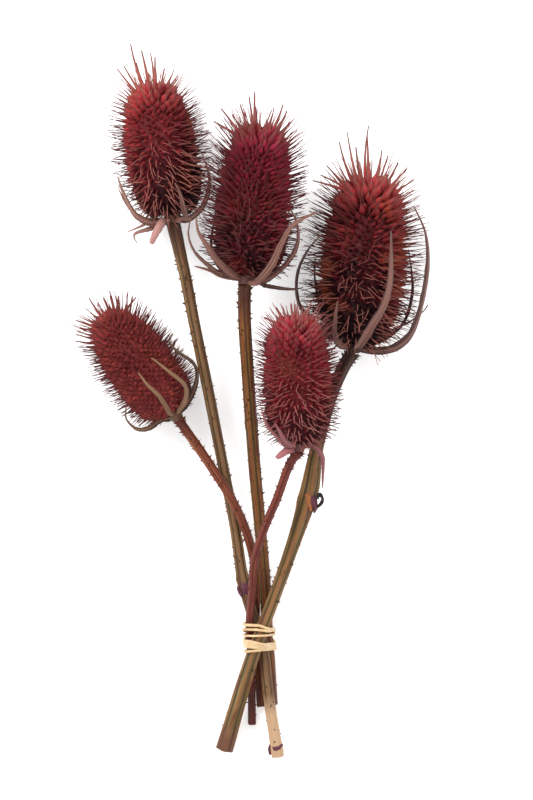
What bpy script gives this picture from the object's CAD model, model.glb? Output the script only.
# %% [markdown]
# A tied bunch of dyed teasel seed heads
#
# The real thing is five dried teasels, dyed crimson, cut on long prickly stems and held by a rubber
# band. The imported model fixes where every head, bract, stem and turn of the band lies. This lesson
# rebuilds each of them finely, piece by piece: stems, bracts, heads, band, and then the finishes.

# %% Load the fixed frame
import math
import time

import bpy
import numpy as np
from mathutils import Matrix, Vector
from mathutils.kdtree import KDTree


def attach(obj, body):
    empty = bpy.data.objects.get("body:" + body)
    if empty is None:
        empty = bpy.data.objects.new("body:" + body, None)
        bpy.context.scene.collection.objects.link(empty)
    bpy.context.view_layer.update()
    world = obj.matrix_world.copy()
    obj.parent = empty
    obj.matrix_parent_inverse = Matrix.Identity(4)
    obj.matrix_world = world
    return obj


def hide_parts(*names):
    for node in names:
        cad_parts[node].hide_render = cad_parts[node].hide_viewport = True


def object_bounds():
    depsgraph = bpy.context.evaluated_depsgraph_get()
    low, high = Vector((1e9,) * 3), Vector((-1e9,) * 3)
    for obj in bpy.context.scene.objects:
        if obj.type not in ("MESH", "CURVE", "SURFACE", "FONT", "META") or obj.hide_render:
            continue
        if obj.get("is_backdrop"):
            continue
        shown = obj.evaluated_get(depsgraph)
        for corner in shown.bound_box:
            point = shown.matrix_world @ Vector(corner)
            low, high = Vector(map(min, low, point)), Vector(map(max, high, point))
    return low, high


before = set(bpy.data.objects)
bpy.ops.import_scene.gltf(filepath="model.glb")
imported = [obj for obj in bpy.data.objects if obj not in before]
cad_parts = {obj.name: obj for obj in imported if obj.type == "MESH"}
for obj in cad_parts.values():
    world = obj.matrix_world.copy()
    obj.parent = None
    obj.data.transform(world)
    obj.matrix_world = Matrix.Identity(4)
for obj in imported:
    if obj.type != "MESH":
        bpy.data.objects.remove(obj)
cad_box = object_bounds()
print("frame nodes:", len(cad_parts))

# %% [markdown]
# A teasel's parts are measured in millimetres, so every size and place below is written in
# millimetres, and one constant turns it into metres. One seed starts every random draw, so the
# bunch comes out the same each time.

# %% Units
MM = 0.001
SEED = 20
STARTED = time.time()
TABLE_CLEARANCE = 0.25
print("nothing comes nearer to the table than", TABLE_CLEARANCE, "mm")

# %% [markdown]
# A seed head is an egg with its widest place a little below the middle. Its foot is blunt, nearly
# flat, and its crown is rounder. Two points fix its axis and one number fixes its girth, and a formula
# gives the outline between them, so a head can be moved or resized by changing one row.

# %% Where the heads lie
WIDEST_AT = 0.465
FOOT_BLUNTNESS = 4.0
CROWN_BLUNTNESS = 2.1

# Heads: base and crown on the axis, the radius of the core and out to the spine tips.
HEADS = {
    1: dict(base=(-40.2, 93.0, 24.5), crown=(-50.6, 156.8, 24.0), core=15.3, reach=26.0),
    2: dict(base=(-3.2, 62.0, 53.0), crown=(4.6, 134.0, 53.0), core=14.8, reach=27.0),
    3: dict(base=(50.8, 28.4, 30.0), crown=(60.0, 109.0, 29.5), core=17.0, reach=31.0),
    4: dict(base=(-38.9, -6.1, 20.5), crown=(-73.8, 42.3, 20.0), core=14.4, reach=23.2),
    5: dict(base=(23.4, -21.0, 50.0), crown=(21.5, 41.5, 55.0), core=14.6, reach=23.0),
}


def head_axis(number):
    """The base, the unit axis and the length of a head, in metres."""
    base = Vector(HEADS[number]["base"]) * MM
    run = Vector(HEADS[number]["crown"]) * MM - base
    return base, run.normalized(), run.length


def head_frame(number):
    """A matrix whose Z runs up the head's axis, and whose Y leans towards straight up."""
    base, axis, _ = head_axis(number)
    across = axis.cross(Vector((0, 0, 1))).normalized()
    raised = across.cross(axis).normalized()
    return Matrix.Translation(base) @ Matrix((across, raised, axis)).transposed().to_4x4()


def core_radius(number, t):
    """The core's radius at t, from 0 at the base to 1 at the crown."""
    below = t < WIDEST_AT
    to_the_end = WIDEST_AT if below else 1.0 - WIDEST_AT
    bluntness = FOOT_BLUNTNESS if below else CROWN_BLUNTNESS
    fullness = 1.0 - (abs(t - WIDEST_AT) / to_the_end) ** bluntness
    return HEADS[number]["core"] * MM * math.sqrt(max(fullness, 0.0))


print("head 3 is", round(head_axis(3)[2] / MM, 1), "mm long")

# %% [markdown]
# Stems and bracts both follow a smooth curve through a few points. It is close to the one that a
# curve object in Blender draws with automatic handles, but written out, so that any place on it can
# be asked for.

# %% A smooth curve
def curve_through(points, t):
    """A point at t, from 0 to 1, on a smooth curve through all the points."""
    last = len(points) - 1
    place = min(max(t, 0.0), 1.0) * last
    i = min(int(place), last - 1)
    u = place - i
    before, start, end, after = (points[min(max(i + k, 0), last)] for k in (-1, 0, 1, 2))
    return 0.5 * (2 * start + (end - before) * u
                  + (2 * before - 5 * start + 4 * end - after) * u ** 2
                  + (3 * start - before - 3 * end + after) * u ** 3)


print("middle of an arch:", tuple(curve_through([Vector((0, 0)), Vector((1, 1)), Vector((2, 0))], 0.5)))

# %% [markdown]
# The stems leave their heads, cross under the band and end in a clean cut. Each row is a point of the
# middle line with the stem's radius there, so one smooth curve carries both the bend and the taper.

# %% Where the stems run
# Stems, from under the head to the cut end: points and the radius at each.
STEMS = {
    1: [(-33.7, 63.3, 24.0, 3.0), (-28.9, 38.8, 22.5, 2.9), (-21.1, 0.8, 20.0, 2.8),
        (-14.6, -32.3, 17.0, 2.7), (-8.9, -61.3, 13.5, 2.7), (-4.5, -90.0, 11.5, 2.9),
        (1.4, -110.8, 11.2, 2.8), (4.8, -119.3, 11.2, 2.8), (6.3, -129.0, 11.0, 2.8),
        (8.5, -149.3, 9.9, 2.8), (13.0, -179.0, 6.0, 3.0)],
    2: [(-3.5, 38.8, 47.0, 3.0), (-1.1, 0.8, 37.0, 2.9), (1.4, -32.3, 28.5, 2.9),
        (4.0, -61.3, 21.0, 2.8), (6.2, -86.0, 14.0, 2.7), (7.3, -104.0, 8.6, 2.8),
        (7.4, -119.3, 5.6, 2.8), (8.6, -129.0, 5.2, 2.7), (10.0, -153.0, 3.2, 2.7)],
    3: [(45.5, 16.8, 29.5, 3.4), (39.0, 1.3, 28.0, 3.2), (32.0, -24.8, 25.0, 3.4),
        (28.0, -47.3, 22.5, 3.9), (17.9, -79.3, 19.5, 3.4), (11.0, -98.3, 18.4, 3.2),
        (3.2, -119.3, 17.9, 3.3), (-2.6, -136.8, 14.3, 3.7), (-14.0, -175.3, 4.8, 4.5)],
    4: [(-35.2, -11.8, 20.8, 2.5), (-26.3, -24.3, 21.4, 2.5), (-18.0, -36.8, 21.3, 2.5),
        (-10.4, -49.0, 20.9, 2.4), (-4.5, -61.3, 17.9, 2.4), (0.0, -75.3, 12.7, 2.4),
        (2.0, -89.3, 7.8, 2.3), (2.0, -104.3, 5.6, 2.2), (1.7, -119.3, 4.9, 2.2),
        (2.4, -129.0, 4.7, 2.2), (4.5, -153.8, 2.8, 2.3)],
    5: [(18.5, -31.8, 46.0, 2.3), (12.7, -47.8, 39.0, 2.2), (7.0, -61.3, 34.0, 2.2),
        (1.3, -79.3, 27.0, 2.1), (0.0, -94.3, 21.5, 2.1), (-1.4, -110.8, 15.9, 2.0),
        (-1.1, -119.3, 12.6, 2.0), (-0.8, -129.0, 9.7, 2.0), (-0.3, -144.3, 6.6, 2.1),
        (0.0, -162.8, 2.9, 2.2)],
}
# A collar stands between each head and its stem, which starts a little below it.
COLLAR_HEIGHT = 3.8
BELOW_COLLAR = 0.1
# How often the search for one place on a stem is halved.
HALVINGS = 24


def stem_points(number):
    """The stem's points in metres with the radius as a fourth value, from the head down."""
    base, axis, _ = head_axis(number)
    top = base - axis * (COLLAR_HEIGHT + BELOW_COLLAR) * MM
    return [Vector((*top, STEMS[number][0][3] * MM))] + [Vector(row) * MM for row in STEMS[number]]


def stem_at(number, t):
    """The centre and the radius of a stem at t, from 0 under the head to 1 at the cut."""
    four = curve_through(stem_points(number), t)
    return Vector(four[:3]), four[3]


def stem_at_y(number, y):
    """The centre and the radius of a stem where it passes y, in metres."""
    low, high = 0.0, 1.0
    for _ in range(HALVINGS):
        middle = (low + high) / 2
        if stem_at(number, middle)[0].y > y:
            low = middle
        else:
            high = middle
    return stem_at(number, low)


print("stem 1 is", round(2 * stem_at(1, 0.5)[1] / MM, 1), "mm thick at half its length")

# %% [markdown]
# Bracts are the long, stiff leaves under each head. The ones that show are placed by hand, a few
# points each. Those on the hidden side follow one rule: they hug the head between its core and its
# spine tips, so they never reach through the table.

# %% Where the bracts run
# Each placed bract: its width, and its points from the root to the tip.
BRACTS = {
    1: [(4.0, [(-50.5, 89.3, 30), (-58, 92.8, 33), (-62, 99.3, 35), (-65, 105.8, 36), (-67, 112.3, 36)]),
        (4.0, [(-50.5, 90, 20), (-58.5, 93.6, 18), (-63.5, 99.5, 17), (-67, 106.8, 18)]),
        (3.4, [(-32.5, 90.8, 29), (-25, 96.8, 32), (-21.5, 106, 33), (-21.5, 114, 33), (-25, 124, 31)]),
        (3.8, [(-33.5, 91.3, 37), (-34.5, 98.3, 46), (-36, 104.3, 50), (-38, 108.3, 52)]),
        (4.4, [(-44.5, 90, 35), (-48, 84.3, 38), (-50.5, 78.8, 36)]),
        (2.8, [(-49.5, 87, 27), (-58, 84.3, 28), (-59, 81.8, 27), (-57.5, 79.5, 26)]),
        (1.8, [(-50, 90.0, 24), (-56, 87.6, 25), (-62.5, 84.8, 25)])],
    2: [(2.6, [(-15.5, 63.5, 55), (-21.5, 67.3, 56), (-28.5, 74.3, 57), (-31.5, 82.8, 57), (-30, 91.5, 56)]),
        (4.4, [(-9, 62.3, 60), (-17, 69.3, 66), (-22.5, 77.3, 69), (-26.5, 84, 69), (-27.5, 90.8, 68)]),
        (2.6, [(-15.5, 62.5, 49), (-21.5, 65.3, 48), (-28.5, 67.3, 48)]),
        (4.6, [(2.5, 59.3, 62), (9.5, 66.8, 71), (15, 78.3, 77), (20.5, 86.8, 79), (32, 93.3, 77)]),
        (4.0, [(6, 59.8, 54), (16.5, 67.3, 58), (22.5, 77.3, 60), (22.5, 87.8, 61), (19, 95.3, 62)]),
        (2.4, [(6, 57.8, 49), (14, 56.3, 49), (21.5, 55.8, 50), (25.5, 56.8, 52)])],
    3: [(2.8, [(38, 33, 36), (31, 39.8, 38), (24, 47.3, 41), (22, 57.3, 43), (23.5, 66.8, 45),
               (28.5, 76.3, 49), (35, 83, 53)]),
        (4.0, [(43.5, 28.5, 39), (41, 34.3, 47), (41.5, 42.8, 55), (42.5, 49.8, 59)]),
        (5.0, [(53.5, 27.8, 40), (59.5, 37.8, 52), (65.5, 48.3, 59), (68.5, 61.8, 61), (69, 84.3, 60)]),
        (5.0, [(62, 25.3, 31), (71, 26.6, 32), (78.5, 32.2, 32), (82.6, 40.4, 33), (85.6, 51.6, 34),
               (87.6, 64, 34), (88, 75, 34), (86.2, 86, 34), (80.8, 97.5, 33)]),
        (4.0, [(64, 29.5, 23), (76, 38.8, 19), (80.5, 52.3, 17), (80.5, 63, 16), (78.5, 76.3, 17)]),
        (3.0, [(38, 36, 20), (33.5, 50, 13), (31.5, 61.8, 11), (32, 72, 11)]),
        (2.0, [(62, 31, 27), (72, 36.5, 26), (80, 40.5, 26), (86, 45.5, 27), (88, 48.5, 27)])],
    4: [(3.0, [(-41.5, -5.3, 28), (-46, 2.3, 38), (-52, 8.3, 43), (-56.5, 14.3, 45)]),
        (3.0, [(-36, -3.8, 28), (-33, 1.3, 34), (-33.5, 8.3, 39), (-42, 15.5, 44), (-50, 21.8, 45)]),
        (3.0, [(-31.5, 0.3, 23), (-27.5, 11.3, 26), (-29, 19, 30), (-37.5, 25.3, 35), (-41.5, 30.3, 36),
               (-39.5, 34, 35)]),
        (3.0, [(-46, -9.5, 22), (-52, -13.5, 24), (-58, -13.8, 25), (-63, -8.8, 25), (-63, -2.3, 26)]),
        (3.0, [(-47.5, -8.3, 16), (-60.5, -3.0, 12)])],
    5: [(3.0, [(16.5, -21.5, 54), (12, -17, 58), (7.5, -11.8, 61), (4.5, -2.8, 63)]),
        (4.0, [(17, -20.2, 61), (13.5, -14.3, 66), (11.5, -10.8, 69)]),
        (4.0, [(16.5, -24.8, 52), (12, -28.0, 53)]),
        (3.4, [(30.5, -22.0, 54), (34.5, -26.3, 55), (35.5, -31.5, 54), (35, -42.8, 50)])],
}
# Bracts behind: the turn round the head from straight up, and the length.
BACK_BRACTS = {
    1: [(130, 30), (178, 34), (228, 30)],
    2: [(126, 32), (160, 36), (205, 34), (240, 30)],
    3: [(140, 34), (182, 36), (222, 32)],
    4: [(128, 24), (170, 24), (212, 24)],
    5: [(128, 26), (164, 26), (205, 26)],
}
# How wide they are, and how far out among the spines they lie.
BACK_WIDTH = 3.4
HUG_DEPTH = 0.55
# Where a bract behind leaves the head, out from the axis and up along it.
ROOT_OUT, ROOT_UP = 8.5, -0.5
# Every bract starts inside the collar: how far below the head, and how far from the middle.
ROOT_BELOW_HEAD = 1.7
ROOT_START = 1.2


def bract_paths(number):
    """Every bract of a head: its width in mm and its points, from the root, in metres."""
    base, axis, _ = head_axis(number)
    centre = base - axis * ROOT_BELOW_HEAD * MM
    turned = head_frame(number)
    paths = [(width, [Vector(p) * MM for p in points]) for width, points in BRACTS[number]]
    core, reach = HEADS[number]["core"], HEADS[number]["reach"]
    hug = core + HUG_DEPTH * (reach - core)
    for degrees, length in BACK_BRACTS[number]:
        turn = math.radians(degrees)
        out = Vector((math.sin(turn), math.cos(turn), 0))
        steps = [(ROOT_OUT, ROOT_UP), (0.8 * hug, 0.18 * length), (hug, 0.5 * length), (0.98 * hug, length)]
        route = [turned @ ((out * away + Vector((0, 0, up))) * MM) for away, up in steps]
        paths.append((BACK_WIDTH, route))
    return [(width, [centre + (points[0] - centre).normalized() * ROOT_START * MM] + points)
            for width, points in paths]


print("bracts:", sum(len(bract_paths(number)) for number in HEADS))

# %% [markdown]
# Operators act on what is selected, so each new piece starts from nothing selected. A few helpers do
# the housekeeping: they select pieces, edges or faces, name a fresh primitive, read and write its
# points, and join pieces. The shaping itself stays in the cells that model each piece.

# %% Helpers for modelling
def nothing_selected():
    """Leaves edit mode and clears the selection."""
    if bpy.context.object and bpy.context.object.mode != "OBJECT":
        bpy.ops.object.mode_set(mode="OBJECT")
    bpy.ops.object.select_all(action="DESELECT")


def named(name):
    """Names the primitive that was just added, with its scale and turn applied."""
    piece = bpy.context.object
    piece.name = name
    piece.data.name = name
    bpy.ops.object.transform_apply(location=True, rotation=True, scale=True)
    return piece


def get_points(piece):
    """The mesh's points as an array of rows x, y, z."""
    points = np.zeros(len(piece.data.vertices) * 3)
    piece.data.vertices.foreach_get("co", points)
    return points.reshape(-1, 3)


def set_points(piece, points):
    """Writes an array of rows x, y, z to the mesh."""
    piece.data.vertices.foreach_set("co", np.asarray(points, float).ravel())
    piece.data.update()


def select_only(piece):
    """Makes one piece the active and only selected object."""
    nothing_selected()
    piece.select_set(True)
    bpy.context.view_layer.objects.active = piece


def pick(piece, kind, rule):
    """Enters edit mode with only the edges or the faces selected that a rule picks."""
    select_only(piece)
    bpy.ops.object.mode_set(mode="EDIT")
    bpy.ops.mesh.select_mode(type=kind)
    bpy.ops.mesh.select_all(action="DESELECT")
    bpy.ops.object.mode_set(mode="OBJECT")
    for part in piece.data.edges if kind == "EDGE" else piece.data.polygons:
        part.select = rule(part)
    bpy.ops.object.mode_set(mode="EDIT")


def stands(piece, edge):
    """Whether an edge runs from the foot to the top of a piece one unit high."""
    low, high = (piece.data.vertices[k].co.z for k in edge.vertices)
    return abs(high - low) > 0.5


def store(piece, name, values):
    """Keeps one number for each point of the mesh, for the material to read."""
    layer = piece.data.attributes.get(name) or piece.data.attributes.new(name, "FLOAT", "POINT")
    layer.data.foreach_set("value", np.asarray(values, float))


def joined(pieces, name):
    """Joins several pieces in one, under one name."""
    nothing_selected()
    for piece in pieces:
        piece.select_set(True)
    bpy.context.view_layer.objects.active = pieces[0]
    bpy.ops.object.join()
    pieces[0].name = name
    pieces[0].data.name = name
    return pieces[0]


print("helpers ready")

# %% [markdown]
# A stem or a bract is easiest to model straight, standing on the origin, and then to bend along its
# route. A Curve modifier would do it, but it can't be told which way a blade faces. So the bend is
# written out: each point keeps its offset from the middle line and moves with the route's frame.

# %% Bend a straight piece along a route
ROUTE_STEPS = 160
CURVE_SAMPLES = 400
# At each step a piece keeps this much of its last side. It keeps that side whole where its route runs
# so nearly towards the wished front that the new side would be shorter than the second number.
STEADINESS = 0.7
TOO_NEAR = 0.15
# A bract's back tips up by the second number, unless it faces further down than the first. Where the
# route runs nearly straight out of the head, the back turns to the crown.
UNDERSIDE = -0.4
TIPPED_UP = 0.8
STRAIGHT_OUT = 0.2


def lengths_along(points):
    """How far each point lies along the line through all of them."""
    return np.cumsum([0.0] + [(after - before).length for before, after in zip(points, points[1:])])


def route_frames(points, facing):
    """Places, sides and fronts at even steps along a route. facing gives the wished front."""
    fine = [curve_through(points, k / CURVE_SAMPLES) for k in range(CURVE_SAMPLES + 1)]
    gone = lengths_along(fine)
    wanted = np.linspace(0.0, gone[-1], ROUTE_STEPS + 1)
    table = np.array([tuple(p) for p in fine])
    places = np.stack([np.interp(wanted, gone, table[:, k]) for k in range(3)], axis=1)
    tangents = np.gradient(places, axis=0)
    tangents /= np.linalg.norm(tangents, axis=1)[:, None]
    sides, fronts = [], []
    side = None
    for place, tangent in zip(places, tangents):
        along = Vector(tangent)
        wish = facing(Vector(place), along, Vector(fronts[-1]) if fronts else None)
        new_side = along.cross(wish)
        if new_side.length < TOO_NEAR and side is not None:
            new_side = side - along * side.dot(along)
        new_side.normalize()
        if side is not None and new_side.dot(side) < 0:
            new_side.negate()
        if side is not None:
            new_side = (side * STEADINESS + new_side * (1 - STEADINESS)).normalized()
        side = (new_side - along * new_side.dot(along)).normalized()
        sides.append(tuple(side))
        fronts.append(tuple(side.cross(along)))
    return places, np.array(sides), np.array(fronts)


def bend_along(piece, points, facing, height):
    """Carries a piece that stands straight from z = 0 to height onto a route."""
    places, sides, fronts = route_frames(points, facing)
    straight = get_points(piece)
    where = np.clip(straight[:, 2] / height, 0.0, 1.0) * ROUTE_STEPS
    low = np.minimum(where.astype(int), ROUTE_STEPS - 1)
    part = (where - low)[:, None]
    place, side, front = (rows[low] * (1 - part) + rows[low + 1] * part for rows in (places, sides, fronts))
    set_points(piece, place + side * straight[:, :1] + front * straight[:, 1:2])


def keep_front(place, along, last):
    """For round pieces: the front turns as little as it can."""
    return last if last is not None else Vector((0, 0, 1))


def facing_out(number):
    """For bracts: the blade shows its back to the outside of its own head, and a little upwards."""
    base, axis, _ = head_axis(number)

    def wish(place, along, last):
        nearest = base + axis * (place - base).dot(axis)
        outward = (place - nearest).normalized()
        if outward.z > UNDERSIDE:
            outward = (outward + Vector((0, 0, TIPPED_UP))).normalized()
        return outward if along.cross(outward).length > STRAIGHT_OUT else axis
    return wish


print("route steps:", ROUTE_STEPS)

# %% [markdown]
# A dried teasel stem is hollow, with a few broad ribs that stand between sunken furrows, and it
# swells at its nodes. It could be a bevelled curve, but a curve's section is the same all along. A
# cylinder with many rings is better: its furrows are pressed in, and each ring is then sized.

# %% One straight ribbed stem
STEM_SIDES = 48
STEM_RINGS = 130
STEM_RIBS = 5
LINE_SAMPLES = 200
# Shares of the stem's radius: how deep the furrows and the broad dips between ribs are, how rough the
# skin is, how thick the wall round the hollow end is, and how far the hollow's floor narrows.
FURROW_DEPTH = 0.13
DIP_DEPTH = 0.06
ROUGHNESS = 0.010
WALL = 0.28
FLOOR_NARROWS = 0.25
# The hollow's depth as a share of the stem's length.
HOLLOW_DEPTH = 0.008
# Nearer to the middle than this share of the radius, a point is on a cut end.
END_SHARE = 0.9
# Where each stem swells, by how much, and over how much of its length. A narrow one is a node.
SWELLINGS = {1: [(0.0, 0.20, 0.05), (0.665, 0.22, 0.010), (0.985, 0.14, 0.010)],
             2: [(0.33, 0.12, 0.010)],
             3: [(0.350, 0.26, 0.075), (0.372, 0.12, 0.012)],
             4: [(0.30, 0.10, 0.010)],
             5: [(0.36, 0.10, 0.010)]}
# The furrows thin a stem, so three are drawn a little fuller than the radii above say.
FULLER = {1: 1.05, 2: 1.12, 3: 1.05, 4: 1.0, 5: 1.0}


def make_stem(number):
    """A ribbed stem, its cut end hollowed, bent onto its route."""
    nothing_selected()
    bpy.ops.mesh.primitive_cylinder_add(vertices=STEM_SIDES, radius=1.0, depth=1.0, end_fill_type="NGON",
                                        location=(0, 0, 0.5))
    piece = named(f"ribbed_stem_{number}")
    pick(piece, "EDGE", lambda edge: stands(piece, edge))
    bpy.ops.mesh.subdivide(number_cuts=STEM_RINGS)
    pick(piece, "FACE", lambda face: len(face.vertices) > 4 and face.center.z > 0.5)
    bpy.ops.mesh.inset(thickness=WALL)
    bpy.ops.transform.translate(value=(0, 0, -HOLLOW_DEPTH))
    bpy.ops.mesh.inset(thickness=FLOOR_NARROWS)
    bpy.ops.object.mode_set(mode="OBJECT")
    points = get_points(piece)
    turn = np.arctan2(points[:, 1], points[:, 0])
    away = np.hypot(points[:, 0], points[:, 1])
    draw = np.random.default_rng(SEED + number)
    phase = draw.uniform(0, 6.28, 4)
    t = points[:, 2]
    rib = 0.5 + 0.5 * np.cos(STEM_RIBS * turn + 0.9 * np.sin(4 * t + phase[0]) + phase[1])
    broad = 0.5 + 0.5 * np.cos(3 * turn + 1.2 * t + phase[2])
    rough = ROUGHNESS * np.sin(37 * t + 3 * turn + phase[3])
    furrow = 1.0 - FURROW_DEPTH * (1 - rib) ** 1.5 - DIP_DEPTH * (1 - broad) + rough
    swell = np.ones_like(t)
    for middle, size, spread in SWELLINGS[number]:
        swell += size * np.exp(-((t - middle) / spread) ** 2)
    line, radii = zip(*[stem_at(number, k / LINE_SAMPLES) for k in range(LINE_SAMPLES + 1)])
    gone = lengths_along(line)
    radius = np.interp(t, gone / gone[-1], radii) * swell * FULLER[number]
    points[:, :2] *= (radius * np.where(away > END_SHARE, furrow, 1.0))[:, None]
    set_points(piece, points)
    store(piece, "along", t)
    store(piece, "turn", turn / (2 * math.pi) + 0.5)
    store(piece, "cut_face", away < END_SHARE)
    store(piece, "crest", rib)
    bend_along(piece, stem_points(number), keep_front, 1.0)
    return piece


stems = {number: make_stem(number) for number in STEMS}
print("stem faces:", {n: len(s.data.polygons) for n, s in stems.items()})

# %% [markdown]
# Prickles and spines are all needles: a cone with rings along it, each ring drawn in to its own
# radius. Each kind is modelled once, standing on the origin one unit high, and then copied.
# A plain cone would have straight sides, and a real prickle widens to its foot.

# %% One prickle
def make_needle(name, sides, rings):
    """A cone from z = 0 to 1 whose rings follow rows of a height and a radius."""
    nothing_selected()
    bpy.ops.mesh.primitive_cone_add(vertices=sides, radius1=1.0, radius2=0.0, depth=1.0,
                                    end_fill_type="NGON", location=(0, 0, 0.5))
    piece = named(name)
    pick(piece, "EDGE", lambda edge: stands(piece, edge))
    bpy.ops.mesh.subdivide(number_cuts=len(rings) - 2)
    bpy.ops.object.mode_set(mode="OBJECT")
    points = get_points(piece)
    ring = np.rint(points[:, 2] * (len(rings) - 1)).astype(int)
    heights, radii = np.array(rings).T
    away = np.hypot(points[:, 0], points[:, 1])
    points[:, :2] *= (radii[ring] / np.maximum(away, 1e-6))[:, None] * (away > 1e-5)[:, None]
    points[:, 2] = heights[ring]
    set_points(piece, points)
    store(piece, "along", points[:, 2])
    store(piece, "shade", np.zeros(len(points)))
    store(piece, "bleached", np.zeros(len(points)))
    return piece


prickle = make_needle("prickle", 5, [(0, 1.0), (0.3, 0.45), (0.65, 0.18), (1, 0)])
print("prickle faces:", len(prickle.data.polygons))

# %% [markdown]
# A copy has a mesh of its own, so it can be turned, sized and bent its own way before all are
# joined. An array modifier would repeat one needle without a change, and a real head has no two
# alike.

# %% Copies of a needle
def lay_copies(name, needle, rows):
    """Copies of a needle, each turned, sized and bent its own way, joined in one piece.

    A row holds a copy's root, direction, length, width and bend, and how well it took the dye with
    how bleached it is.
    """
    roots, directions, lengths, widths, bends, shades = [np.array(column) for column in zip(*rows)]
    shape = get_points(needle)
    size = len(shape)
    helper = np.where(np.abs(directions[:, 2:3]) < 0.9, [[0.0, 0.0, 1.0]], [[1.0, 0.0, 0.0]])
    side = np.cross(directions, helper)
    side /= np.linalg.norm(side, axis=1)[:, None]
    front = np.cross(directions, side)
    x, y, z = (shape[None, :, k, None] for k in range(3))
    laid = (roots[:, None] + side[:, None] * x * widths[:, None, None]
            + front[:, None] * y * widths[:, None, None]
            + directions[:, None] * z * lengths[:, None, None]
            + bends[:, None] * z ** 2 * lengths[:, None, None])
    copies = []
    for points, shade in zip(laid, shades):
        copy = bpy.data.objects.new(name, needle.data.copy())
        bpy.context.scene.collection.objects.link(copy)
        set_points(copy, points)
        store(copy, "shade", np.full(size, shade[0]))
        store(copy, "bleached", np.full(size, shade[1]))
        copies.append(copy)
    return joined(copies, name)


print("a copy of the prickle has", len(get_points(prickle)), "points")

# %% [markdown]
# Teasel stems carry small stiff prickles, close together under the head and fewer lower down, and
# they lean a little towards the head. Each is rooted inside the stem, so that no gap shows at its
# foot. Round the band there are none, because the band would have rubbed them off.

# %% Prickles on the stems
# How many prickles each stem is given, and how much they crowd towards its head.
PRICKLES = {1: 230, 2: 260, 3: 190, 4: 170, 5: 170}
PRICKLE_RUN = {1: 1.5, 2: 1.5, 3: 2.2, 4: 1.3, 5: 1.3}
PRICKLE_LENGTHS = (0.8, 1.8)
PRICKLE_RADII = (0.55, 0.95)
# A prickle starts inside the stem, at the first share of its radius, and is longer by the second.
PRICKLE_FOOT = 0.84
PRICKLE_EXTRA = 0.12
PRICKLE_LEAN = 0.5
PRICKLE_BEND = 0.25
LAST_PRICKLE = 0.97
BAND_Y = -119.0
BARE_BY_BAND = 13.0


def make_prickles(number):
    """Prickles on one stem: dense near the head, fewer lower down."""
    draw = np.random.default_rng(SEED * 3 + number)
    rows = []
    for _ in range(PRICKLES[number]):
        t = draw.random() ** PRICKLE_RUN[number] * LAST_PRICKLE
        centre, radius = stem_at(number, t)
        if abs(centre.y - BAND_Y * MM) < BARE_BY_BAND * MM:
            continue
        along = (stem_at(number, min(t + 0.01, 1))[0] - stem_at(number, max(t - 0.01, 0))[0]).normalized()
        across = along.cross(Vector((0, 0, 1))).normalized()
        turn = draw.random() * 2 * math.pi
        out = across * math.cos(turn) + across.cross(along) * math.sin(turn)
        length = draw.uniform(*PRICKLE_LENGTHS) * MM * (1.2 - 0.5 * t)
        root = centre + out * radius * PRICKLE_FOOT * FULLER[number]
        if root.z + out.z * length * 1.3 < TABLE_CLEARANCE * MM:
            continue
        lean = (out - along * draw.uniform(0.0, PRICKLE_LEAN)).normalized()
        rows.append((root, lean, length + radius * PRICKLE_EXTRA, draw.uniform(*PRICKLE_RADII) * MM,
                     -along * PRICKLE_BEND, (draw.random(), 0.0)))
    return lay_copies(f"prickles_{number}", prickle, rows)


thorns = {number: make_prickles(number) for number in STEMS}
print("prickles on stem 1:", len(thorns[1].data.polygons) // len(prickle.data.polygons))

# %% [markdown]
# A bract is a narrow leaf with a keel along its back and edges that turn in as it dries. A grid of
# faces is shaped straight: its width tapers, the middle is pressed into a channel, and Solidify
# gives it the 0.5 mm of a dried leaf before it is bent along its route.

# %% One straight blade
BLADE_ROWS = 44
BLADE_COLUMNS = 8
# The keel's height in millimetres. Its width, the ragged edge and the wave are shares of half the
# blade's width.
KEEL_HEIGHT = 0.30
KEEL_WIDTH = 0.16
RAGGED = 0.05
WAVED = 0.10
# How far a blade narrows to its tip, and how late: long and pointed, or blunt.
POINTED, BLUNT = (0.90, 2.2), (0.45, 7.0)


def apply_modifier(piece, kind, **settings):
    """Adds a modifier with its settings and applies it."""
    modifier = piece.modifiers.new("finish", kind)
    for name, value in settings.items():
        setattr(modifier, name, value)
    select_only(piece)
    bpy.ops.object.modifier_apply(modifier=modifier.name)


def make_blade(name, width, length, draw, narrowing, thickness):
    """One straight blade, standing on the origin, with a channel, a waved edge and a rolled tip."""
    nothing_selected()
    bpy.ops.mesh.primitive_grid_add(x_subdivisions=BLADE_COLUMNS, y_subdivisions=BLADE_ROWS, size=1.0,
                                    rotation=(math.pi / 2, 0, 0), location=(0, 0, 0.5))
    piece = named(name)
    points = get_points(piece)
    across, t = points[:, 0] * 2, points[:, 2]
    taper = np.minimum(1.0, 0.62 + 1.5 * t) * (1 - narrowing[0] * t ** narrowing[1])
    phase = draw.uniform(0, 6.28, 3)
    ragged = 1 + RAGGED * np.sin(46 * t + phase[0]) + RAGGED * np.sin(83 * t + phase[1])
    half = 0.5 * width * MM * taper * np.where(np.abs(across) > 0.9, ragged, 1.0)
    rolled = 0.45 + 0.65 * t
    bent = across * rolled
    points[:, 0] = half * np.sin(bent) / rolled
    keel = KEEL_HEIGHT * MM * np.exp(-(across / KEEL_WIDTH) ** 2) * (1 - 0.8 * t)
    wave = WAVED * half * np.sin(14 * t + phase[2]) * across
    points[:, 1] = -half * (1 - np.cos(bent)) / rolled * 0.9 + keel + wave
    points[:, 2] = t * length
    set_points(piece, points)
    store(piece, "along", t)
    store(piece, "across", across)
    apply_modifier(piece, "SOLIDIFY", thickness=thickness * MM, offset=0.0)
    return piece


print("pointed blades narrow by", POINTED[0], "and blunt ones by", BLUNT[0])

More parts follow.
